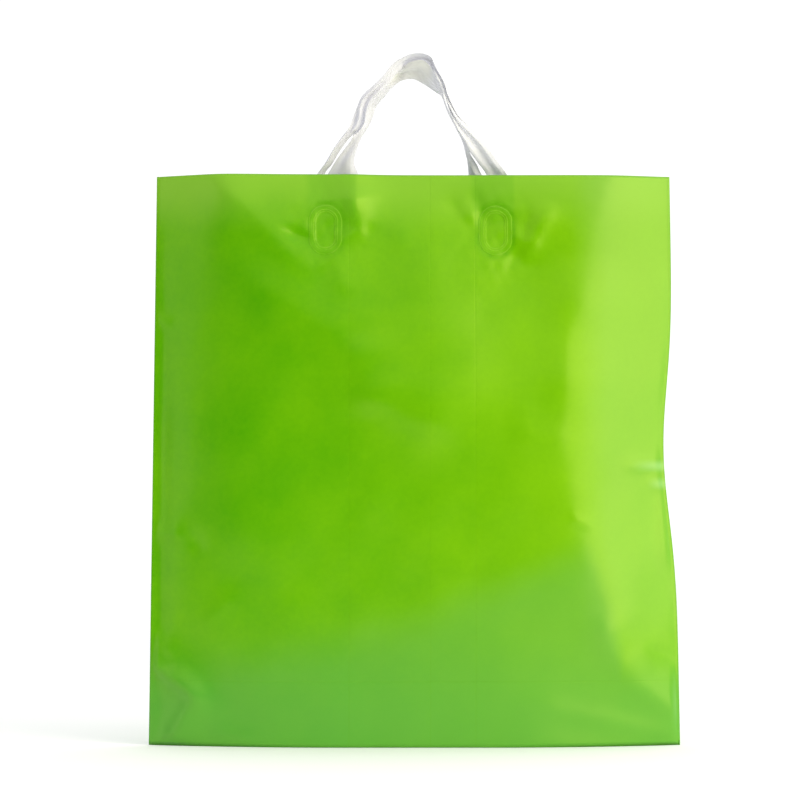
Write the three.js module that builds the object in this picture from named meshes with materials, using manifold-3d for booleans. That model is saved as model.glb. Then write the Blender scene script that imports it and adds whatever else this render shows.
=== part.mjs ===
// A plastic carrier bag with a bottom gusset and two soft loop handles, standing open on its base.
// Millimetres, +Z up, front panel towards -Y. The origin is the middle of the base, on the ground.
import * as THREE from "three";
import { mergeVertices } from "three/addons/utils/BufferGeometryUtils.js";
import Module from "manifold-3d";

// Driving dimensions of the bag
const RIM_HEIGHT = 430;
const BASE_HALF_WIDTH = 200.5;
const RIM_HALF_WIDTH_LEFT = 195.5;
const RIM_HALF_WIDTH_RIGHT = 193.7;
const WAIST_DEPTH = 8.3; // how far the right seam is drawn in at the waist
const WAIST_HEIGHT = 222;
const WAIST_SPREAD = 50;
const WALL = 0.8; // stands in for film of 0.06 mm
const GUSSET = 31; // half the depth of the open base
const FLAT_SHARE = 0.3; // share of the base's half width over which the gusset lies flat
const BASE_CURVE = 1.8; // power of the curve by which the base narrows beyond that
const BELLY_DEPTH = 40; // half depth at the fullest height
const BELLY_CURVE = 2.8; // power of the curve by which the belly narrows towards the seams
const BELLY_HEIGHT = 195;
const MOUTH_DEPTH = 12; // half gap of the mouth between the handles
const MOUTH_CURVE = 8; // power of the curve by which the mouth closes at the seams
const LEFT_BULGE = 13; // extra half gap at the middle of each side of the mouth
const RIGHT_BULGE = 6;
const BULGE_AT = 0.73; // where it is, as a share of the half width
const BULGE_SPREAD = 0.2;
const WELD_FIN = 3; // width of the side weld, where both panels are one
const CUT_ABOVE_RIM = 2; // the hollow's form runs on past the rim, so that the mouth is open

// Driving dimensions of the handles
const STRIP_WIDTH = 30;
const STRIP_THICKNESS = 0.8; // stands in for folded film of 0.2 mm
const WELD_X_LEFT = -67;
const WELD_X_RIGHT = 61;
const WELDED_HEIGHTS = [362, 374, 386, 398, 410]; // where the strip lies against its panel
const CONTACT_GAP = 0.8; // the welded ends lie this close to the panel

const COLUMNS = 36;
const ROWS = 14;
const ROWS_BELOW_RIDGE = 2; // rows of the panels that start below the ridge of the closed gusset
const STEPS_PER_STATION = 3;

const wasm = await Module();
wasm.setup();

const smooth = (t) => t * t * (3 - 2 * t);
const clamp01 = (t) => Math.min(1, Math.max(0, t));
const bell = (t) => Math.exp(-t * t);

// Distance from the middle plane to a side seam at height z; side is -1 for left, 1 for right.
function seamDistance(side, z) {
  const rise = z / RIM_HEIGHT;
  if (side < 0) return BASE_HALF_WIDTH + (RIM_HALF_WIDTH_LEFT - BASE_HALF_WIDTH) * rise;
  const straight = BASE_HALF_WIDTH + (RIM_HALF_WIDTH_RIGHT - BASE_HALF_WIDTH) * rise;
  return straight - WAIST_DEPTH * bell((z - WAIST_HEIGHT) / (Math.SQRT2 * WAIST_SPREAD));
}

const across = (s, z) => s * seamDistance(Math.sign(s), z);

// Half depth of the hollow at three heights, for s from -1 at the left seam to 1 at the right.
const baseDepth = (s) =>
  GUSSET * (1 - Math.pow(clamp01((Math.abs(s) - FLAT_SHARE) / (1 - FLAT_SHARE)), BASE_CURVE));
const bellyDepth = (s) => BELLY_DEPTH * (1 - Math.pow(Math.abs(s), BELLY_CURVE));
const bulge = (s, at) => bell((s - at) / BULGE_SPREAD);
const rimDepth = (s) =>
  (1 - Math.pow(s, MOUTH_CURVE)) *
  (MOUTH_DEPTH + LEFT_BULGE * bulge(s, -BULGE_AT) + RIGHT_BULGE * bulge(s, BULGE_AT));

// Half depth of the hollow at s and height z.
function hollowDepth(s, z) {
  if (z < BELLY_HEIGHT) {
    const t = smooth(clamp01(z / BELLY_HEIGHT));
    return baseDepth(s) + (bellyDepth(s) - baseDepth(s)) * t;
  }
  const t = smooth(clamp01((z - BELLY_HEIGHT) / (RIM_HEIGHT - BELLY_HEIGHT)));
  return bellyDepth(s) + (rimDepth(s) - bellyDepth(s)) * t;
}

// The gusset's ridge: flat on the ground in the middle, folded up between the panels at the seams.
function gussetRidge(s) {
  const half = baseDepth(s) + WALL;
  return Math.sqrt(Math.max(0, (GUSSET + WALL) ** 2 - half * half));
}

function toManifold(geometry) {
  const bare = geometry.index ? geometry.toNonIndexed() : geometry.clone();
  bare.deleteAttribute("normal");
  bare.deleteAttribute("uv");
  const merged = mergeVertices(bare, 1e-4);
  return new wasm.Manifold(
    new wasm.Mesh({
      numProp: 3,
      vertProperties: merged.attributes.position.array,
      triVerts: new Uint32Array(merged.index.array),
    }),
  );
}

function toGeometry(solid) {
  const mesh = solid.getMesh();
  const geometry = new THREE.BufferGeometry();
  geometry.setAttribute("position", new THREE.BufferAttribute(mesh.vertProperties, 3));
  geometry.setIndex(new THREE.BufferAttribute(mesh.triVerts, 1));
  geometry.computeVertexNormals();
  return geometry;
}

// The triangles that close a ring: a fan from its first point to a number of points on both sides,
// and a zigzag across the rest.
function capOf(ring, fanned) {
  let low = 1;
  let high = ring.length - 1;
  const triangles = [];
  while (low <= fanned) {
    triangles.push(ring[0], ring[low], ring[low + 1]);
    triangles.push(ring[0], ring[high - 1], ring[high]);
    low++;
    high--;
  }
  triangles.push(ring[0], ring[low], ring[high]);
  while (high - low > 1) {
    triangles.push(ring[low], ring[low + 1], ring[high]);
    low++;
    if (high - low > 1) {
      triangles.push(ring[low], ring[high - 1], ring[high]);
      high--;
    }
  }
  return triangles;
}

// A closed solid from rings of the same number of points, each joined to the next.
function loft(rings, fanned = 0) {
  const count = rings[0].length;
  const first = capOf(rings[0], fanned).reverse();
  const triangles = [...first, ...capOf(rings[rings.length - 1], fanned)];
  const corner = (r, k) => rings[r][k % count];
  for (let r = 0; r + 1 < rings.length; r++) {
    for (let k = 0; k < count; k++) {
      triangles.push(corner(r, k), corner(r, k + 1), corner(r + 1, k));
      triangles.push(corner(r, k + 1), corner(r + 1, k + 1), corner(r + 1, k));
    }
  }
  return new THREE.BufferGeometry().setFromPoints(triangles);
}

// The bag's form with nothing cut out of it, as rings running from the left seam to the right.
// inset is 0 for the outside of the film and WALL for the inside.
function bagForm(inset, top) {
  const edge = inset > 0 ? 1 - WELD_FIN / BASE_HALF_WIDTH : 1;
  const rings = [];
  for (let i = 0; i <= COLUMNS; i++) {
    const s = -edge * Math.cos((Math.PI * i) / COLUMNS);
    const half = baseDepth(s) + WALL;
    const steepness = (GUSSET + WALL) / half;
    const foot = (inset * (gussetRidge(s) + GUSSET + WALL)) / half;
    const ridge = gussetRidge(s) + inset * steepness;
    const front = [];
    const back = [];
    for (let j = 0; j <= ROWS; j++) {
      const z = foot + ((top - foot) * j) / ROWS;
      const depth = hollowDepth(s, z) + WALL - inset;
      front.push(new THREE.Vector3(across(s, z), -depth, z));
      back.push(new THREE.Vector3(across(s, z), depth, z));
    }
    rings.push([new THREE.Vector3(across(s, 0), 0, ridge), ...back, ...front.reverse()]);
  }
  return loft(rings, ROWS_BELOW_RIDGE);
}

function bagBody() {
  const outside = toManifold(bagForm(0, RIM_HEIGHT));
  const inside = toManifold(bagForm(WALL, RIM_HEIGHT + CUT_ABOVE_RIM));
  return toGeometry(outside.subtract(inside));
}

// A station of a handle: the strip's outer edge and its inner edge, the one nearer the hand.
const station = (outer, inner) => ({
  outer: new THREE.Vector3(...outer),
  inner: new THREE.Vector3(...inner),
});

// A station where the strip lies flat against the inside of a panel; side is -1 front, 1 back.
function weldedStation(side, x, z) {
  const half = STRIP_WIDTH / 2;
  const depth = (at) => hollowDepth(at / seamDistance(Math.sign(at), z), z);
  const slope = (depth(x + half) - depth(x - half)) / STRIP_WIDTH;
  const excess = (at) => depth(x) + slope * (at - x) - depth(at);
  const clearance = Math.max(...[-1, -0.5, 0, 0.5, 1].map((w) => excess(x + w * half)));
  const lift = clearance + CONTACT_GAP + STRIP_THICKNESS / 2;
  const edge = (at) => [at, side * (depth(x) + slope * (at - x) - lift), z];
  const outwards = half * Math.sign(x);
  return station(edge(x + outwards), edge(x - outwards));
}

const weldedLeg = (side, x) => WELDED_HEIGHTS.map((z) => weldedStation(side, x, z));

// A strip of constant thickness, lofted through its stations.
function strip(stations) {
  const outer = new THREE.CatmullRomCurve3(stations.map((at) => at.outer));
  const inner = new THREE.CatmullRomCurve3(stations.map((at) => at.inner));
  const steps = STEPS_PER_STATION * (stations.length - 1);
  const rings = [];
  for (let i = 0; i <= steps; i++) {
    const from = outer.getPoint(i / steps);
    const to = inner.getPoint(i / steps);
    const along = outer.getTangent(i / steps).add(inner.getTangent(i / steps));
    const width = new THREE.Vector3().subVectors(to, from);
    const half = new THREE.Vector3().crossVectors(along, width).setLength(STRIP_THICKNESS / 2);
    const below = [from.clone().sub(half), to.clone().sub(half)];
    const above = [to.clone().add(half), from.clone().add(half)];
    rings.push([...below, ...above]);
  }
  return loft(rings);
}

// The front loop is the outer one: its crest lies over the back loop's.
const frontHandle = () =>
  strip([
    ...weldedLeg(-1, WELD_X_LEFT),
    station([-79, -10, 421], [-59, -5, 420]),
    station([-74, -9, 430], [-69, 6, 431]),
    station([-68, -8.5, 439.5], [-63.5, 6, 440]),
    station([-62.5, -8, 449], [-56.5, 5, 450.5]),
    station([-56.5, -7.5, 457.5], [-52, 3, 458]),
    station([-51.5, -7, 464], [-47, -1, 461.5]),
    station([-48.5, -6, 469], [-42, -6, 464]),
    station([-46.5, -5, 475.5], [-37.5, -8, 470.5]),
    station([-43.5, -6, 483], [-36.5, -7, 478]),
    station([-39.5, -7, 490.5], [-33.5, -5, 487]),
    station([-32, -8, 497], [-27.5, -3.5, 494]),
    station([-23, -9, 506], [-19.5, -1, 503]),
    station([-13.5, -9, 515], [-11.5, 3, 512.5]),
    station([-3.5, -9, 520.5], [-3.5, 9, 520.5]),
    station([7, -9, 521.5], [6, 9, 520]),
    station([13.5, -8.5, 518.5], [12, 8.5, 514]),
    station([18.5, -8, 509.5], [16.5, 8, 507]),
    station([23.5, -7.5, 500.5], [21.5, 7, 499]),
    station([26.5, -6.5, 489.5], [25.5, 6, 490]),
    station([29.5, -5.5, 481.5], [28.5, 5, 482]),
    station([33, -6, 475.5], [32, 5, 475]),
    station([39.5, -7, 469], [36.5, 4, 467.5]),
    station([47, -8, 461.5], [40.5, 3.5, 459.5]),
    station([55.5, -8.5, 451], [42.5, 4, 450]),
    station([62.5, -9, 441], [48, 2, 442]),
    station([70, -9.5, 430.5], [55.5, -2, 430]),
    station([74, -10, 421], [51, -6, 420]),
    ...weldedLeg(-1, WELD_X_RIGHT).reverse(),
  ]);

// The back loop is the inner one, and turns its edge to the front down its right leg.
const backHandle = () =>
  strip([
    ...weldedLeg(1, WELD_X_LEFT),
    station([-75, 10, 421], [-47.5, 9.5, 420]),
    station([-67, 9.5, 431.5], [-43, 9, 431.5]),
    station([-60, 9, 443], [-46, 10, 442]),
    station([-53.5, 8, 452.5], [-44, 13, 451]),
    station([-47.5, 6.5, 461.5], [-40, 16, 461]),
    station([-45, 5, 469.5], [-35.5, 17, 469.5]),
    station([-43, 4, 478.5], [-32, 17, 477.5]),
    station([-37.5, 3.5, 486], [-29.5, 17, 486]),
    station([-30.5, 3, 493.5], [-24, 16, 493]),
    station([-21, 3.5, 502.5], [-17.5, 15, 500]),
    station([-14, 5.5, 511], [-11.5, 14, 505]),
    station([-9, 3.5, 513.8], [-8, 12, 506]),
    station([-3.5, -2, 517], [-4, 11, 506.5]),
    station([5, -6, 518], [1.5, 10, 505.5]),
    station([11, -5, 514.5], [9.5, 10, 501]),
    station([16, -3.5, 507.5], [17, 10, 495.5]),
    station([21, -1.5, 498], [22.5, 11, 491]),
    station([24, 0.5, 488.5], [25.5, 12, 485.5]),
    station([28, -1, 479], [28.5, 12, 477.5]),
    station([34, -2, 467.5], [34.5, 12, 466]),
    station([39, -2, 457.5], [39.5, 11, 456.5]),
    station([41.5, -2, 447.5], [41, 11, 447]),
    station([46.5, 1, 439.5], [42, 10.5, 438.5]),
    station([52, 3, 430], [42, 9.5, 431.5]),
    station([63, 7, 421], [43.5, 9, 420]),
    ...weldedLeg(1, WELD_X_RIGHT).reverse(),
  ]);

function piece(name, geometry, color, roughness) {
  const material = new THREE.MeshStandardMaterial({ color, roughness, metalness: 0 });
  const mesh = new THREE.Mesh(geometry, material);
  mesh.name = name;
  return mesh;
}

const bag = new THREE.Group();
bag.add(piece("bag_body", bagBody(), 0x78c120, 0.35));
bag.add(piece("front_handle", frontHandle(), 0xe4e5ea, 0.4));
bag.add(piece("back_handle", backHandle(), 0xe4e5ea, 0.4));

export default bag;
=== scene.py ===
"""A green plastic carrier bag with two white loop handles, standing open on a pale floor."""
import math

import bpy
import numpy as np
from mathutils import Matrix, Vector


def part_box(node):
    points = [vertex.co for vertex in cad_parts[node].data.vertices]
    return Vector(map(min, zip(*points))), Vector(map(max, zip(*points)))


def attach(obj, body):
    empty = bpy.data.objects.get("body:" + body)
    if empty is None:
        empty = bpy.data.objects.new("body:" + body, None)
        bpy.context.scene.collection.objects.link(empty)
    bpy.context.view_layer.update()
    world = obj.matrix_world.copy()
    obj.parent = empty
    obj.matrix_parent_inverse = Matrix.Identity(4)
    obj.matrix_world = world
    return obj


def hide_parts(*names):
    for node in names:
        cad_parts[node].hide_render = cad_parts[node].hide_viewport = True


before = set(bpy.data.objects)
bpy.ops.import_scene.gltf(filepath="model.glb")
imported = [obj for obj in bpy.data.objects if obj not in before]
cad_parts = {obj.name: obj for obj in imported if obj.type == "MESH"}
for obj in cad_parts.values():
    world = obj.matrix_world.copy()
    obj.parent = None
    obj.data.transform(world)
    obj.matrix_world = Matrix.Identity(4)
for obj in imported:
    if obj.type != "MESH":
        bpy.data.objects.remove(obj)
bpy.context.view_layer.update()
BODY_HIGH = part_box("bag_body")[1]

# The bag, in metres
MM = 0.001
RIM = BODY_HIGH.z
BASE_HALF_WIDTH = BODY_HIGH.x
RIM_HALF_LEFT = 0.1955
RIM_HALF_RIGHT = 0.1937
WAIST = 0.0083
GUSSET = 0.031
FILM = 0.00012
WELD_FIN = 0.0015

# The handle welds: obround rings, in metres
WELD_X = (-0.067, 0.061)
WELD_Z = 0.3875
RING_OUTER = 0.0120
RING_INNER = 0.0073
RING_STRAIGHT = 0.0065
RING_RAISED = 0.0005
RING_PRESSED = 0.0010

# The handle strips
STRIP_WIDTH = 0.026
STRIP = 0.0002
WELD_BOTTOM = 0.362
WELD_TOP = 0.410


# ---------------------------------------------------------------- shapes on arrays

def smooth(t):
    t = np.clip(t, 0.0, 1.0)
    return t * t * (3 - 2 * t)


def bell(t):
    return np.exp(-t * t)


def soft_min(k, *values):
    """The least of several heights, with its creases rounded over a height of k."""
    low = np.minimum.reduce(values)
    return low - k * np.log(sum(np.exp((low - v) / k) for v in values))


def soft_max(k, *values):
    return -soft_min(k, *(-v for v in values))


def fold(x, z, a, b, height, below, above, taper=0.25, crisp=0.0012):
    """A fold that runs from a to b and fades out at its ends.

    Its flanks fall off over the widths below (to the right of a to b) and above (to the left)."""
    dx, dz = b[0] - a[0], b[1] - a[1]
    length = math.hypot(dx, dz)
    t = ((x - a[0]) * dx + (z - a[1]) * dz) / length**2
    off = ((z - a[1]) * dx - (x - a[0]) * dz) / length
    ends = smooth((t + taper) / taper / 2) * smooth((1 + taper - t) / taper / 2)
    width = np.where(off > 0, above, below)
    rounded = np.sqrt(off**2 + crisp**2) - crisp
    return height * ends * np.exp(-((rounded / width) ** 1.5))


def dent(x, z, at, size, height, turn=0.0):
    """A smooth bump (height over 0) or dimple of half sizes size, turned by an angle."""
    c, s = math.cos(turn), math.sin(turn)
    dx, dz = x - at[0], z - at[1]
    return height * bell((c * dx + s * dz) / size[0]) * bell((c * dz - s * dx) / size[1])


def ripples(x, z, seed, wavelength, height, count=7):
    """Faint unevenness of slack film: a few waves in chance directions."""
    chance = np.random.default_rng(seed)
    total = np.zeros_like(x)
    for _ in range(count):
        turn = chance.uniform(0, math.pi)
        number = 2 * math.pi / (wavelength * chance.uniform(0.7, 1.5))
        phase = chance.uniform(0, 2 * math.pi)
        total += np.sin(number * (x * math.cos(turn) + z * math.sin(turn)) + phase)
    return height * total / math.sqrt(count)


# ---------------------------------------------------------------- the film's form

def seam_distance(side, z):
    """From the middle plane to a side seam; side is -1 left, 1 right."""
    rise = z / RIM
    if side < 0:
        return BASE_HALF_WIDTH + (RIM_HALF_LEFT - BASE_HALF_WIDTH) * rise
    waist = WAIST * bell((z - 0.222) / 0.07)
    return BASE_HALF_WIDTH + (RIM_HALF_RIGHT - BASE_HALF_WIDTH) * rise - waist


def base_depth(s):
    return GUSSET * (1 - np.clip((np.abs(s) - 0.3) / 0.7, 0, 1) ** 1.8)


# Folds of the panels: start, end, height, widths of the two flanks, in millimetres
FRONT_FOLDS = (
    # what the left weld pulls from the rim's bulge
    ((-148, 424), (-84, 362), 2.6, 12, 12),
    # the handle's strip behind the film, right of the left weld
    ((-48, 460), (-46, 402), 4.0, 22, 13),
    ((-47, 416), (-41, 389), 2.2, 7, 13),
    ((-38, 387), (-58, 379), 1.3, 4, 5),
    ((-60, 372), (-52, 340), 0.9, 8, 8),
    # the slack between the long ridge and the right side
    ((14, 385), (18, 232), 5.2, 46, 66),
    ((118, 350), (114, 258), 4.2, 22, 46),
    ((-40, 262), (24, 240), 1.5, 12, 24),
    ((-128, 348), (-44, 300), 3.0, 22, 24),
    ((-44, 300), (-30, 255), 2.2, 20, 26),
    ((-150, 240), (-120, 130), 1.6, 22, 30),
    ((74, 233), (118, 229), 1.4, 13, 22),
    # the left side's narrow valley beside its seam
    ((-191, 20), (-189, 350), -1.2, 6, 7),
    # round the right weld
    ((45, 416), (54, 388), -1.6, 5, 5),
    ((27, 410), (47, 382), -1.5, 8, 7),
    ((84, 371), (101, 404), 2.6, 8, 7),
    # the right side's waist and kink
    ((117, 170), (131, 166), 1.1, 2.4, 3),
    ((160, 210), (196, 213), 1.6, 4, 6),
    ((176, 199), (196, 196), 1.1, 4, 4),
    ((189, 205), (191, 140), 1.8, 5, 24),
    # small creases that start at the left seam
    ((-200, 323), (-185, 318), 1.3, 3.5, 6),
    ((-200, 160), (-176, 157), 1.7, 3, 9),
    ((-200, 84), (-182, 70), 1.4, 4, 5),
    ((-200, 62), (-181, 60), -1.3, 4, 4),
    # the bottom corners
    ((-210, 70), (-164, 38), 5.0, 5, 11),
    ((-162, 40), (-188, -4), 4.4, 7, 16),
    ((-206, 52), (-191, 53), -1.4, 3, 3),
    ((-160, 86), (-137, 114), 0.9, 5, 6),
    ((-150, 10), (-120, 4), 1.0, 6, 6),
    ((140, 92), (160, 54), 2.6, 12, 22),
    ((160, 54), (206, 20), 4.2, 15, 20),
    ((86, 33), (204, 6), 0.9, 7, 7),
    ((178, 73), (202, 62), -1.2, 4, 5),
)
FRONT_DENTS = (
    ((-88, 383), (10, 5), -2.2, -0.4),
    ((-67, 416), (13, 12), -0.9, 0.0),
    ((41, 401), (6, 8), 1.0, 0.6),
    ((77, 384), (4, 5), 0.7, 0.0),
    ((75, 368), (5, 9), -0.9, -0.4),
    ((84, 394), (3.5, 8), -0.9, -0.3),
    ((-54, 400), (5, 9), -0.7, 0.2),
    ((66, 416), (8, 9), 0.5, 0.0),
    ((-10, 383), (8, 11), 0.9, 0.3),
    ((-163, 152), (5, 8), -1.1, 0.3),
    ((-107, 281), (22, 15), 0.7, -0.3),
    ((-30, 189), (9, 17), 0.6, 0.0),
)
BACK_FOLDS = (
    ((128, 420), (72, 352), 2.4, 12, 14),
    ((-120, 402), (-76, 372), 2.0, 9, 9),
    ((60, 350), (-40, 232), 2.4, 16, 30),
    ((-100, 330), (-30, 262), 1.6, 12, 22),
    ((-130, 190), (-60, 150), 1.4, 12, 18),
    ((46, 412), (50, 384), 1.8, 12, 6),
    ((-46, 404), (-30, 380), -1.4, 7, 6),
    ((200, 318), (182, 312), 1.4, 4, 6),
    ((200, 150), (172, 158), 1.8, 5, 8),
    ((-202, 58), (-160, 36), 2.2, 9, 10),
    ((202, 50), (150, 40), 2.0, 9, 12),
    ((-110, 60), (-204, 10), 1.4, 10, 12),
    ((-200, 236), (-176, 226), -1.6, 5, 5),
)
BACK_DENTS = (
    ((84, 392), (9, 6), -1.8, 0.4),
    ((-90, 380), (7, 9), -1.6, 0.0),
    ((-67, 415), (12, 12), -0.8, 0.0),
    ((10, 300), (26, 16), -0.8, 0.4),
    ((120, 250), (18, 24), 0.9, 0.0),
)


def weld_ring(x, z, wx):
    """The weld's embossed ring: puffed film between an outer and an inner obround line."""
    straight = np.maximum(np.abs(z - WELD_Z) - RING_STRAIGHT, 0.0)
    radius = np.sqrt((x - wx) ** 2 + straight**2)
    edge = 0.0013
    raised = smooth((RING_OUTER - radius) / edge + 0.5)
    raised = raised * smooth((radius - RING_INNER) / edge + 0.5)
    pressed = smooth((RING_OUTER + 0.005 - radius) / 0.009)
    return RING_RAISED * raised - RING_PRESSED * pressed


def relief(x, z, front):
    """Folds, dents and weld rings of a panel, in metres outwards."""
    total = ripples(x, z, 4 if front else 9, 0.045, 0.0002)
    total += ripples(x, z, 5 if front else 10, 0.017, 0.00003)
    for a, b, height, below, above in FRONT_FOLDS if front else BACK_FOLDS:
        a, b = (np.array(p) * MM for p in (a, b))
        total += fold(x, z, a, b, height * MM, below * MM, above * MM)
    for at, size, height, turn in FRONT_DENTS if front else BACK_DENTS:
        at, size = (np.array(p) * MM for p in (at, size))
        total += dent(x, z, at, size, height * MM, turn)
    for wx in WELD_X:
        puckered = bell((x - wx) / 0.03) * bell((z - WELD_Z) / 0.035)
        total += weld_ring(x, z, wx)
        total += puckered * ripples(x, z, 6 if front else 11, 0.013, 0.00019)
    return total


def panel_depth(x, z, front):
    """Half depth of the bag at x and z, where the film lies."""
    left_room = x + seam_distance(-1, z) - WELD_FIN
    right_room = seam_distance(1, z) - WELD_FIN - x
    s = np.where(x < 0, x / seam_distance(-1, z), x / seam_distance(1, z))
    up = RIM - z
    # flat facets run along both seams, steeper towards the belly
    left = (0.52 + 0.08 * smooth((0.33 - z) / 0.13)) * left_room
    right = 0.33 + 0.17 * smooth((0.32 - z) / 0.10) + 0.06 * smooth((0.18 - z) / 0.08)
    right = right * right_room
    # the belly between them
    swell = soft_min(0.003, 0.031 + (0.042 + 0.11 * x) * z, 0.034 + 0.03 * up)
    droop = 1.55 * np.maximum(-0.09 - x, 0.0) ** 2 * smooth((0.41 - z) / 0.12)
    belly = swell - 0.40 * (x + 0.010) ** 2 - droop
    # the rim between the welds is drawn back, which leaves a long ridge below it
    lip = 0.003 * np.exp(-up / 0.018)
    below_rim = 0.015 + 0.15 * up - 0.09 * x
    drawn = soft_max(0.001, below_rim, 0.0155 + 0.03 * up + 0.02 * (x - 0.03)) - lip
    crown = soft_min(0.0026, right, left, belly, drawn)
    # the foot follows the opened gusset's outline
    edge = base_depth(s)
    depth = edge + (crown - edge) * smooth(z / 0.11)
    near_seam = smooth(np.minimum(left_room, right_room) / 0.004)
    near_foot = smooth(z / 0.006)
    depth = depth + relief(x, z, front) * near_seam * near_foot
    return np.maximum(depth, 0.0) + FILM * 1.2


# ---------------------------------------------------------------- meshes

def new_piece(name, points, faces):
    mesh = bpy.data.meshes.new(name)
    mesh.from_pydata([tuple(p) for p in points], [], faces)
    mesh.update()
    piece = bpy.data.objects.new(name, mesh)
    bpy.context.collection.objects.link(piece)
    for face in mesh.polygons:
        face.use_smooth = True
    return piece


def grid_faces(rows, columns):
    faces = []
    for r in range(rows - 1):
        for c in range(columns - 1):
            a = r * columns + c
            faces.append((a, a + columns, a + columns + 1, a + 1))
    return faces


def thicken(piece, thickness, offset):
    solid = piece.modifiers.new("thickness", "SOLIDIFY")
    solid.thickness = thickness
    solid.offset = offset


def graded(stops, steps):
    """Positions between stops, with the given spacing in each stretch."""
    out = [stops[0]]
    for low, high, step in zip(stops, stops[1:], steps):
        count = max(1, round((high - low) / step))
        out += [low + (high - low) * (i + 1) / count for i in range(count)]
    return np.array(out)


# where the columns run close, as shares of the half width, and how close
COLUMN_STOPS = (
    -1, -0.985, -0.84, -0.50, -0.41, -0.27, -0.16, 0.14, 0.245, 0.385, 0.5, 0.58, 0.985, 1,
)
COLUMN_STEPS = (
    0.0075, 0.012, 0.020, 0.012, 0.0045, 0.012, 0.021, 0.012, 0.0048, 0.012, 0.02, 0.013, 0.0075,
)
# the same for the rows, in metres
FRONT_ROW_STOPS, FRONT_ROW_STEPS = (0, 0.355, 0.366, 0.412, RIM), (0.0034, 0.002, 0.00095, 0.002)
BACK_ROW_STOPS, BACK_ROW_STEPS = (0, 0.362, 0.414, RIM), (0.006, 0.0024, 0.003)
GUSSET_ROWS = 6


def film_grid():
    """The bag as one sheet: rows run down the front, across the gusset and up the back."""
    s = graded(COLUMN_STOPS, COLUMN_STEPS)
    front_heights = graded(FRONT_ROW_STOPS, FRONT_ROW_STEPS)
    back_heights = graded(BACK_ROW_STOPS, BACK_ROW_STEPS)

    def panel(z, front):
        z = np.full_like(s, z)
        x = np.where(s < 0, s * seam_distance(-1, z), s * seam_distance(1, z))
        depth = panel_depth(x, z, front)
        return np.stack([x, -depth if front else depth, z], axis=1)

    rows = [panel(z, True) for z in front_heights[::-1]]
    front_edge, back_edge = panel(0.0, True), panel(0.0, False)
    half = (back_edge[:, 1] - front_edge[:, 1]) / 2
    lift = np.sqrt(np.maximum(0.0, (GUSSET + FILM * 1.2) ** 2 - half**2))
    seam = np.where(s < 0, seam_distance(-1, lift), seam_distance(1, lift))
    ridge = np.stack([0.999 * s * seam, np.zeros_like(s), lift], axis=1)
    rising, falling = ridge - front_edge, back_edge - ridge
    rows += [front_edge + rising * i / GUSSET_ROWS for i in range(1, GUSSET_ROWS + 1)]
    rows += [ridge + falling * i / GUSSET_ROWS for i in range(1, GUSSET_ROWS)]
    rows += [panel(z, False) for z in back_heights]
    grid = np.array(rows)
    grid[:, :, 2] = np.maximum(grid[:, :, 2], FILM * 1.1)
    return grid


def bag_film():
    grid = film_grid()
    film = new_piece("carrier_bag_film", grid.reshape(-1, 3), grid_faces(*grid.shape[:2]))
    thicken(film, FILM, -1)
    return film


# ---------------------------------------------------------------- handles

# Stations of the free part of each strip, from left to right: outer edge, inner edge, then where
# its lengthwise fold lies (0 outer edge, 1 inner edge) and how high it stands, in millimetres
FRONT_STATIONS = (
    ((-79, -10, 421), (-59, -5, 420), 0.5, 1.5),
    ((-74, -9, 430), (-68, 5, 431), 0.5, 1.8),
    ((-68, -8.5, 439.5), (-62, 4, 440), 0.5, 1.6),
    ((-62.5, -8, 449), (-55.5, 3, 450.5), 0.5, 1.5),
    ((-56.5, -7.5, 457.5), (-50.5, 1, 457.5), 0.5, 1.4),
    ((-51.5, -7, 464), (-46.5, -2, 461.5), 0.45, 1.3),
    ((-48.5, -6, 469), (-42, -6, 464), 0.35, 1.6),
    ((-46.5, -5, 475.5), (-37.5, -8, 470.5), 0.3, 1.8),
    ((-43.5, -6, 483), (-36.5, -7, 478), 0.35, 1.8),
    ((-39.5, -7, 490.5), (-33.5, -5, 487), 0.55, 1.6),
    ((-32, -8, 497), (-27.5, -3.5, 494), 0.6, 1.6),
    ((-23, -9, 506), (-19.5, -1, 502.5), 0.6, 1.4),
    ((-13.5, -9, 516), (-12, 3, 512.5), 0.5, 0.8),
    ((-3.5, -9, 521.9), (-3.5, 8, 518.6), 0.4, 0.6),
    ((7, -9, 522.6), (6.5, 8, 518.8), 0.4, 0.6),
    ((14, -8.5, 519.3), (11.5, 6, 515), 0.3, 0.8),
    ((18.5, -8, 509.5), (14.5, -5, 508), 0.4, 0.9),
    ((23.5, -7.5, 500.5), (19, -4, 499), 0.4, 0.9),
    ((26.8, -6.5, 490), (23, -3.5, 489.5), 0.45, 0.9),
    ((29.8, -6, 482), (26.3, -4.5, 481), 0.5, 0.8),
    ((33.5, -6.5, 475.5), (29.5, -5, 473.5), 0.45, 0.8),
    ((39.5, -7, 469), (33.5, -5, 465.5), 0.4, 0.8),
    ((47, -8, 461.5), (38, -5, 458), 0.35, 0.7),
    ((55.5, -8.5, 451), (41.8, -4, 449.5), 0.3, 0.7),
    ((62.5, -9, 441), (48, -2, 441.5), 0.3, 0.7),
    ((70, -9.5, 430.5), (55.5, -2, 430), 0.3, 0.8),
    ((74, -10, 421), (51, -6, 420), 0.3, 0.8),
)
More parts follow.
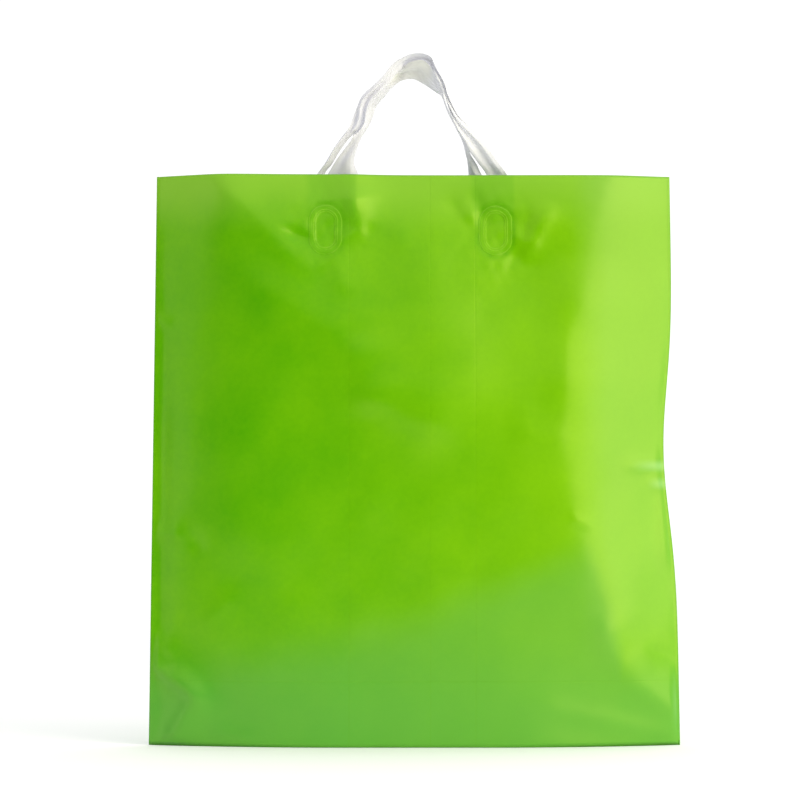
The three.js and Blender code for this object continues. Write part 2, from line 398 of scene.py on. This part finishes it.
BACK_STATIONS = (
    ((-75, 10, 421), (-47.5, 9.5, 420), 0.76, -3.0),
    ((-67, 9.5, 431.5), (-43, 9, 431.5), 0.77, -4.5),
    ((-60, 9, 443), (-46, 10, 442), 0.80, -3.5),
    ((-53.5, 8, 452.5), (-44, 13, 451), 0.6, -2.4),
    ((-47.5, 6.5, 461.5), (-40, 16, 461), 0.4, -1.6),
    ((-45, 5, 469.5), (-35.5, 17, 469.5), 0.6, -1.2),
    ((-43, 4, 478.5), (-32, 17, 477.5), 0.6, 1.4),
    ((-37.5, 3.5, 486), (-29.5, 17, 486), 0.5, 1.4),
    ((-30.5, 3, 493.5), (-24, 16, 493), 0.5, 1.4),
    ((-21, 3.5, 502.5), (-17.5, 15, 500), 0.5, 1.2),
    ((-14, 5.5, 511), (-11.5, 14, 505), 0.5, 1.0),
    ((-9, 3.5, 513.8), (-8, 12, 506), 0.5, 0.8),
    ((-3.5, -2, 517), (-4, 11, 506.5), 0.55, 0.8),
    ((5, -6, 518), (1.5, 10, 505.5), 0.6, 0.8),
    ((11, -5, 514.5), (9.5, 10, 501), 0.6, -1.0),
    ((16, -3.5, 507.5), (17, 10, 495.5), 0.5, -1.0),
    ((21, -1.5, 498), (22.5, 11, 491), 0.5, -1.0),
    ((24, 0.5, 488.5), (25.5, 12, 485.5), 0.5, -0.8),
    ((28, -1, 479), (28.5, 12, 477.5), 0.5, -0.8),
    ((34, -2, 467.5), (34.5, 12, 466), 0.5, -1.0),
    ((39, -2, 457.5), (39.5, 11, 456.5), 0.5, -1.0),
    ((41.5, -2, 447.5), (41, 11, 447), 0.5, -1.2),
    ((46.5, 1, 439.5), (42, 10.5, 438.5), 0.5, -1.5),
    ((52, 3, 430), (42, 9.5, 431.5), 0.5, -1.5),
    ((63, 7, 421), (43.5, 9, 420), 0.5, -1.2),
)
WELD_STATIONS = 5
STEPS = 6
ACROSS = 25
CLEARANCE = 0.0006

# How the strips gather: pleats across, how they wander along, their height as a share of the
# slack; the crumple's wavelengths and heights; the hems' width as a share, and their step
PLEATS = 1.5
PLEAT_WANDER = 0.021
PLEAT_HEIGHT = 0.073
CRUMPLE = ((0.024, 0.00010), (0.013, 0.00003))
HEM = 0.13
HEM_STEP = 0.00022


def catmull_rom(points, steps):
    """A smooth path through all the points, with the given steps between two of them."""
    points = np.array(points, dtype=float)
    padded = np.vstack([2 * points[0] - points[1], points, 2 * points[-1] - points[-2]])
    out = []
    for p0, p1, p2, p3 in zip(padded, padded[1:], padded[2:], padded[3:]):
        for t in np.arange(steps) / steps:
            out.append(
                0.5 * (2 * p1 + (p2 - p0) * t + (2 * p0 - 5 * p1 + 4 * p2 - p3) * t**2)
                + 0.5 * (3 * p1 - 3 * p2 + p3 - p0) * t**3
            )
    return np.array(out + [points[-1]])


def welded_leg(side, x):
    """Stations where a strip lies flat on the inside of its panel; side is -1 front, 1 back."""
    outwards = math.copysign(STRIP_WIDTH / 2, x)
    stations = []
    for z in np.linspace(WELD_BOTTOM, WELD_TOP, WELD_STATIONS):
        edges = []
        for at in (x + outwards, x - outwards):
            depth = panel_depth(np.array([at]), np.array([z]), side < 0)[0]
            edges.append((at / MM, side * (depth - CLEARANCE) / MM, z / MM))
        stations.append((*edges, 0.5, 0.0, 1.0))
    return stations


def handle_strip(name, side, free, seed):
    """A loop of soft folded film between its two welds."""
    stations = welded_leg(side, WELD_X[0])
    stations += [(*station, 0.0) for station in free]
    stations += welded_leg(side, WELD_X[1])[::-1]
    table = [(*outer, *inner, *rest) for outer, inner, *rest in stations]
    path = catmull_rom(table, STEPS)
    outer, inner = path[:, 0:3] * MM, path[:, 3:6] * MM
    place, height, pressed = path[:, 6:7], path[:, 7:8] * MM, smooth(path[:, 8:9])
    w = np.linspace(0, 1, ACROSS)[None, :]
    along = np.gradient(outer + inner, axis=0)
    normal = np.cross(along, inner - outer)
    normal /= np.linalg.norm(normal, axis=1, keepdims=True)
    middle = (outer + inner) / 2
    steps = np.linalg.norm(np.diff(middle, axis=0), axis=1)
    run = np.concatenate([[0], np.cumsum(steps)])[:, None]
    # one lengthwise fold, then soft pleats, a fine crumple and the hems' step
    crest = np.where(w < place, w / place, (1 - w) / (1 - place))
    offset = height * crest**1.15
    chance = np.random.default_rng(seed)
    loose = 1 - pressed
    pleat = np.sin(2 * math.pi * (PLEATS * w + 0.3 * np.sin(run / PLEAT_WANDER) + 0.1))
    chord = np.linalg.norm(inner - outer, axis=1, keepdims=True)
    slack = np.maximum(STRIP_WIDTH - chord, 0.0)
    offset = offset + loose * PLEAT_HEIGHT * slack * pleat
    for wavelength, size in CRUMPLE:
        for _ in range(3):
            phase, slant = chance.uniform(0, 6.28), chance.uniform(-9, 9)
            wave = np.sin(2 * math.pi * run / wavelength + slant * w + phase)
            offset = offset + loose * size * wave
    between_hems = smooth((w - HEM) / 0.05) * smooth((1 - HEM - w) / 0.05)
    offset = offset - HEM_STEP * between_hems * loose
    points = outer[:, None, :] + (inner - outer)[:, None, :] * w[:, :, None]
    points = points + normal[:, None, :] * offset[:, :, None]
    film_y = side * (panel_depth(points[:, :, 0], points[:, :, 2], side < 0) - CLEARANCE)
    points[:, :, 1] += (film_y - points[:, :, 1]) * pressed
    rows, columns = points.shape[:2]
    strip = new_piece(name, points.reshape(-1, 3), grid_faces(rows, columns))
    layer = strip.data.uv_layers.new(name="strip")
    for loop in strip.data.loops:
        r, c = divmod(loop.vertex_index, columns)
        layer.data[loop.index].uv = (run[r, 0], w[0, c] * STRIP_WIDTH)
    thicken(strip, STRIP, 0)
    return strip


# ---------------------------------------------------------------- node trees

class Graph:
    """A node tree written as expressions: node() makes any node, and sockets take arithmetic."""

    def __init__(self, owner):
        owner.use_nodes = True
        self.tree = owner.node_tree

    def node(self, kind, settings=None, **sockets):
        """Makes a node; a socket goes by its name, or by its number after an underscore."""
        made = self.tree.nodes.new(kind)
        for key, value in (settings or {}).items():
            setattr(made, key, value)
        for key, value in sockets.items():
            self.feed(made.inputs[int(key[1:]) if key[0] == "_" else key], value)
        return made

    def feed(self, socket, value):
        if isinstance(value, Value):
            value = value.socket
        if isinstance(value, bpy.types.NodeSocket):
            self.tree.links.new(value, socket)
        else:
            socket.default_value = value

    def value(self, kind, settings=None, output=0, **sockets):
        return Value(self, self.node(kind, settings, **sockets).outputs[output])

    def math(self, operation, a, b=0.0):
        return self.value("ShaderNodeMath", {"operation": operation}, _0=a, _1=b)

    def mix(self, factor, a, b):
        settings = {"data_type": "RGBA", "clamp_factor": True}
        return self.value("ShaderNodeMix", settings, 2, _0=factor, _6=a, _7=b)

    def band(self, value, low, high):
        """0 at low, 1 at high and smooth between; low may be the greater."""
        settings = {"interpolation_type": "SMOOTHSTEP"}
        return self.value("ShaderNodeMapRange", settings, _0=value, _1=low, _2=high)

    def noise(self, place, scale, detail):
        settings = {"noise_dimensions": "3D"}
        return self.value("ShaderNodeTexNoise", settings, _0=place, Scale=scale, Detail=detail)

    def groove(self, distance, width):
        """1 on a line, falling to 0 at width from it."""
        return 1 - self.band(self.math("ABSOLUTE", distance), 0.0, width)


class Value:
    """A socket that takes part in arithmetic."""

    def __init__(self, graph, socket):
        self.graph = graph
        self.socket = socket

    def __add__(self, other):
        return self.graph.math("ADD", self, other)

    def __sub__(self, other):
        return self.graph.math("SUBTRACT", self, other)

    def __rsub__(self, other):
        return self.graph.math("SUBTRACT", other, self)

    def __mul__(self, other):
        return self.graph.math("MULTIPLY", self, other)

    __radd__ = __add__
    __rmul__ = __mul__


# ---------------------------------------------------------------- finishes

# Greens of the film; all but DEEP, LIGHT_PATCH and DRAW_LINE are painted light, shade or reflection
DEEP = (0.070, 0.355, 0.0, 1)
PAINTED_LIGHT_GREEN = (0.150, 0.43, 0.0, 1)
LIGHT_PATCH = (0.24, 0.58, 0.0, 1)
PAINTED_FLOOR_REFLECTION = (0.090, 0.37, 0.052, 1)
PAINTED_BACKLIGHT_AT_RIM = (0.215, 0.50, 0.030, 1)
PAINTED_SHEEN_RIGHT = (0.20, 0.46, 0.10, 1)
PAINTED_SHADE_BY_HANDLE = (0.085, 0.36, 0.01, 1)
PAINTED_KINK_HIGHLIGHT = (0.42, 0.72, 0.34, 1)
DRAW_LINE = (0.10, 0.34, 0.0, 1)
PAINTED_WELD_SHADE = (0.075, 0.34, 0.0, 1)
PAINTED_RING_GLINT = (0.34, 0.66, 0.06, 1)

# Marks of the film, in metres: where the handles' ends lie behind it, with painted shade, from left to
# right; the kinks, where a highlight is painted, as height, start and full strength across; draw
# lines; the gusset's old fold
HANDLE_ENDS = ((-0.081, -0.044), (0.043, 0.075))
HANDLE_END_RISE = (0.385, 0.412)
KINKS = ((0.2105, 0.160, 0.185), (0.197, 0.174, 0.188))
DRAW_LINES = (-0.049, 0.0117, 0.0456)
OLD_FOLD = 0.049
RING_LINES = (RING_OUTER, RING_INNER, RING_INNER + 0.0016)
RING_LINE_WIDTH = 0.00055

# Noise scales, per metre
WANDER, CLOUDS, WOBBLE, MOTTLE, GRAIN = 9, 22, 150, 260, 1400


def film_green(graph, place, x, z, clouds, mottle, grain):
    """The film's colour before its fine lines: deep green with random patches, and painted light,
    reflection and shade.
    """
    # painted light: lighter and yellower towards the right and upwards, for the key lamp's light
    painted_light_right = graph.band(x + 0.10 * z + 0.06 * (clouds - 0.5), -0.13, 0.20)
    color = graph.mix(painted_light_right, DEEP, PAINTED_LIGHT_GREEN)
    patchy = (clouds - 0.5) * 0.5 + (mottle - 0.5) * 0.25 + (grain - 0.5) * 0.12
    color = graph.mix(patchy + 0.15, color, LIGHT_PATCH)
    wander = graph.noise(place, WANDER, 1)
    # painted reflection of the pale floor: cooler and bluer in the lower film, up to a slanting line
    # and along the foot
    slant_line = 0.105 + x * (0.33 + 0.6 * x) + 0.02 * (wander - 0.5) + 0.03 * (clouds - 0.5)
    left_of_side = graph.band(x + 0.28 * z, 0.182, 0.166)
    inner = graph.math("MAXIMUM", left_of_side, graph.band(z, 0.08, 0.04))
    below_slant_line = graph.band(slant_line - z, -0.012, 0.030) * inner
    painted_floor_reflection = 0.6 * below_slant_line + 0.4 * graph.band(z, 0.10, 0.01)
    color = graph.mix(painted_floor_reflection * 0.75, color, PAINTED_FLOOR_REFLECTION)
    # painted light: paler near the rim, for light shining through the single film
    painted_backlight = graph.band(z + 0.03 * (wander - 0.5), 0.385, RIM)
    color = graph.mix(painted_backlight * 0.85, color, PAINTED_BACKLIGHT_AT_RIM)
    # painted sheen: paler and milkier towards the right side, above the foot
    painted_sheen_right = graph.band(x + 0.02 * (clouds - 0.5), 0.115, 0.150) * graph.band(z, 0.04, 0.11)
    color = graph.mix(painted_sheen_right * 0.35, color, PAINTED_SHEEN_RIGHT)
    # painted shade: darker where the handles' ends lie behind the film, in a band up to the rim
    painted_handle_shade = 0.0
    for left, right in HANDLE_ENDS:
        from_left = graph.band(x, left - 0.003, left + 0.004)
        painted_handle_shade = from_left * graph.band(x, right + 0.002, right - 0.002) + painted_handle_shade
    painted_handle_shade = painted_handle_shade * graph.band(z, *HANDLE_END_RISE)
    color = graph.mix(painted_handle_shade * (0.2 + 0.3 * clouds), color, PAINTED_SHADE_BY_HANDLE)
    # painted highlight: paler bands along the kinks in the right side
    painted_kink_highlight = 0.0
    for height, start, full in KINKS:
        painted_kink_highlight = graph.groove(z - height, 0.006) * graph.band(x, start, full) + painted_kink_highlight
    return graph.mix(painted_kink_highlight * 0.3, color, PAINTED_KINK_HIGHLIGHT)


def draw_lines(graph, x, z):
    """Lines left by the film's making, and the gusset's old fold."""
    lines = 0.0
    for at in DRAW_LINES:
        lines = graph.groove(x - at, 0.0009) + lines
    return lines + graph.groove(z - OLD_FOLD, 0.0011)


def weld_marks(graph, place, x, z):
    """Two masks: the weld rings' fine edges, which carry painted glints, and the pressed film just
    outside them, which carries painted shade.
    """
    wobble = 0.0016 * (graph.noise(place, WOBBLE, 2) - 0.5)
    straight = graph.math("MAXIMUM", graph.math("ABSOLUTE", z - WELD_Z) - RING_STRAIGHT, 0.0)
    rings, pressed = 0.0, 0.0
    for wx in WELD_X:
        across = x - wx
        radius = graph.math("SQRT", across * across + straight * straight) + wobble
        pressed = graph.groove(radius - RING_OUTER - 0.001, 0.005) + pressed
        for edge in RING_LINES:
            rings = graph.groove(radius - edge, RING_LINE_WIDTH) + rings
    return rings, pressed


def film_finish():
    """Lime green satin film with draw lines, pressed weld rings, and painted light, shade and
    reflection.
    """
    material = bpy.data.materials.new("green_film")
    graph = Graph(material)
    shader = graph.tree.nodes["Principled BSDF"]
    place = graph.node("ShaderNodeTexCoord").outputs["Object"]
    split = graph.node("ShaderNodeSeparateXYZ", _0=place)
    x, z = Value(graph, split.outputs[0]), Value(graph, split.outputs[2])
    clouds = graph.noise(place, CLOUDS, 3)
    mottle = graph.noise(place, MOTTLE, 4)
    grain = graph.noise(place, GRAIN, 2)
    lines = draw_lines(graph, x, z)
    rings, pressed = weld_marks(graph, place, x, z)
    color = film_green(graph, place, x, z, clouds, mottle, grain)
    color = graph.mix(lines * 0.10, color, DRAW_LINE)
    # painted shade: patchy darker green round the weld rings
    color = graph.mix(pressed * (mottle * 1.6 - 0.35), color, PAINTED_WELD_SHADE)
    # painted highlight: paler glints along the rings' edges
    color = graph.mix(rings * (mottle * 0.9 - 0.27), color, PAINTED_RING_GLINT)
    graph.feed(shader.inputs["Base Color"], color)
    graph.feed(shader.inputs["Roughness"], 0.25 + clouds * 0.10 + mottle * 0.08 + rings * 0.1)
    height = mottle * 0.5 + grain * 0.15 + rings * 1.4 - lines * 0.6
    bump = graph.node("ShaderNodeBump", Strength=0.35, Distance=0.0002, Height=height)
    graph.feed(shader.inputs["Normal"], bump.outputs[0])
    shader.inputs["Specular Tint"].default_value = (1, 1, 0.15, 1)
    shader.inputs["Coat Weight"].default_value = 0.12
    shader.inputs["Coat Roughness"].default_value = 0.2
    return material


# Whites of the handles; the last two are painted light and, in part, painted shade
MILKY, MILKY_STREAK = (0.74, 0.74, 0.81, 1), (0.80, 0.80, 0.865, 1)
MILKY_CLOUD = (0.77, 0.76, 0.81, 1)
PAINTED_LIGHT_MILKY = (0.86, 0.86, 0.90, 1)
LAYERS_AND_SHADE_AT_CREST = (0.79, 0.79, 0.755, 1)


def strip_finish(name, overlap):
    """Milky white film of the handles, painted lighter towards the right; with overlap, the crest is
    painted warmer and denser, partly for its two plies and partly as painted shade.
    """
    material = bpy.data.materials.new(name)
    graph = Graph(material)
    shader = graph.tree.nodes["Principled BSDF"]
    place = graph.node("ShaderNodeTexCoord").outputs["Object"]
    split = graph.node("ShaderNodeSeparateXYZ", _0=place)
    x, z = Value(graph, split.outputs[0]), Value(graph, split.outputs[2])
    strip = graph.node("ShaderNodeUVMap", {"uv_map": "strip"}).outputs[0]
    stretched = graph.node("ShaderNodeMapping", _0=strip, _3=(25, 120, 1)).outputs[0]
    streaks = graph.noise(stretched, 1, 1)
    clouds = graph.noise(place, 90, 3)
    color = graph.mix(streaks, MILKY, MILKY_STREAK)
    color = graph.mix(clouds * 0.4, color, MILKY_CLOUD)
    # painted light: the strips are lighter towards the right, where the key lamp falls
    color = graph.mix(graph.band(x, -0.005, 0.035), color, PAINTED_LIGHT_MILKY)
    if overlap:
        # partly painted shade: the back strip's crest is warmer, where two plies overlap and its
        # underside lies in shade
        crest = graph.band(z, 0.497, 0.509) * graph.band(0.016 - x, 0.0, 0.006)
        color = graph.mix(crest * (0.65 + 0.35 * clouds), color, LAYERS_AND_SHADE_AT_CREST)
    graph.feed(shader.inputs["Base Color"], color)
    graph.feed(shader.inputs["Roughness"], 0.45 + streaks * 0.16)
    shader.inputs["Specular IOR Level"].default_value = 0.2
    height = streaks * 0.7 + clouds * 0.3
    bump = graph.node("ShaderNodeBump", Strength=0.1, Distance=0.0002, Height=height)
    graph.feed(shader.inputs["Normal"], bump.outputs[0])
    return material


# ---------------------------------------------------------------- floor, light and camera

ROOM_WHITE = 1.1
ROOM_DARK = 0.01
ROOM_LEAN = 0.35
FLOOR_WIDTH, FLOOR_DEPTH, FLOOR_CENTRE = 12, 7.4, 2.5
LENS = 148.6
EYE = (-0.0109, -2.5, 0.170)
EYE_AIM = (-0.0109, 0.0, 0.2605)
LIGHT_AIM = (0, 0, 0.22)


def studio_world():
    """A white room that is dark round the viewer, as a studio is; seen directly it is plain white."""
    world = bpy.data.worlds.new("studio")
    graph = Graph(world)
    graph.tree.nodes.clear()
    direction = graph.node("ShaderNodeTexCoord").outputs["Generated"]
    split = graph.node("ShaderNodeSeparateXYZ", _0=direction)
    x, y, z = (Value(graph, split.outputs[i]) for i in range(3))
    behind_bag = graph.band(y, -0.12, 0.10)
    overhead = graph.band(z, 0.16, 0.42)
    lit = graph.math("MAXIMUM", behind_bag, overhead)
    strength = lit * (ROOM_WHITE + ROOM_LEAN * x) + ROOM_DARK
    seen = Value(graph, graph.node("ShaderNodeLightPath").outputs["Is Camera Ray"])
    strength = graph.math("MAXIMUM", strength, seen)
    back = graph.node("ShaderNodeBackground", Color=(1, 1, 1, 1), Strength=strength)
    out = graph.node("ShaderNodeOutputWorld")
    graph.tree.links.new(back.outputs[0], out.inputs[0])
    bpy.context.scene.world = world


def area(name, place, size, energy, color):
    light = bpy.data.lights.new(name, "AREA")
    light.shape = "RECTANGLE"
    light.size, light.size_y = size
    light.energy = energy
    light.color = color
    lamp = bpy.data.objects.new(name, light)
    lamp.location = place
    lamp.rotation_euler = (Vector(LIGHT_AIM) - lamp.location).to_track_quat("-Z", "Y").to_euler()
    lamp.visible_camera = False
    bpy.context.scene.collection.objects.link(lamp)


def floor():
    bpy.ops.mesh.primitive_plane_add(size=1, location=(0, 0, 0))
    plane = bpy.context.object
    plane.name = "floor"
    for vertex in plane.data.vertices:
        vertex.co.x *= FLOOR_WIDTH
        vertex.co.y = vertex.co.y * FLOOR_DEPTH + FLOOR_CENTRE
    white = bpy.data.materials.new("floor_white")
    white.use_nodes = True
    shader = white.node_tree.nodes["Principled BSDF"]
    shader.inputs["Base Color"].default_value = (0.96, 0.96, 0.96, 1)
    shader.inputs["Roughness"].default_value = 0.9
    plane.data.materials.append(white)


def camera():
    lens = bpy.data.cameras.new("camera")
    lens.lens = LENS
    lens.sensor_width = 36
    eye = bpy.data.objects.new("camera", lens)
    bpy.context.scene.collection.objects.link(eye)
    eye.location = EYE
    eye.rotation_euler = (Vector(EYE_AIM) - eye.location).to_track_quat("-Z", "Y").to_euler()
    bpy.context.scene.camera = eye


def studio():
    bpy.context.scene.view_settings.view_transform = "Standard"
    camera()
    floor()
    studio_world()
    area("key_right", (1.65, -1.65, 0.75), (1.7, 1.6), 36, (1, 0.96, 0.72))
    area("fill_left", (-1.9, -0.85, 0.45), (0.6, 1.4), 4, (0.9, 0.97, 1))


# ---------------------------------------------------------------- the bag

def declare(piece, node, material):
    piece.data.materials.append(material)
    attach(piece, "root")
    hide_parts(node)


def main():
    studio()
    film = bag_film()
    declare(film, "bag_body", film_finish())
    front = handle_strip("front_handle_strip", -1, FRONT_STATIONS, 21)
    finish = strip_finish("strip_front", False)
    declare(front, "front_handle", finish)
    back = handle_strip("back_handle_strip", 1, BACK_STATIONS, 22)
    finish = strip_finish("strip_back", True)
    declare(back, "back_handle", finish)


main()
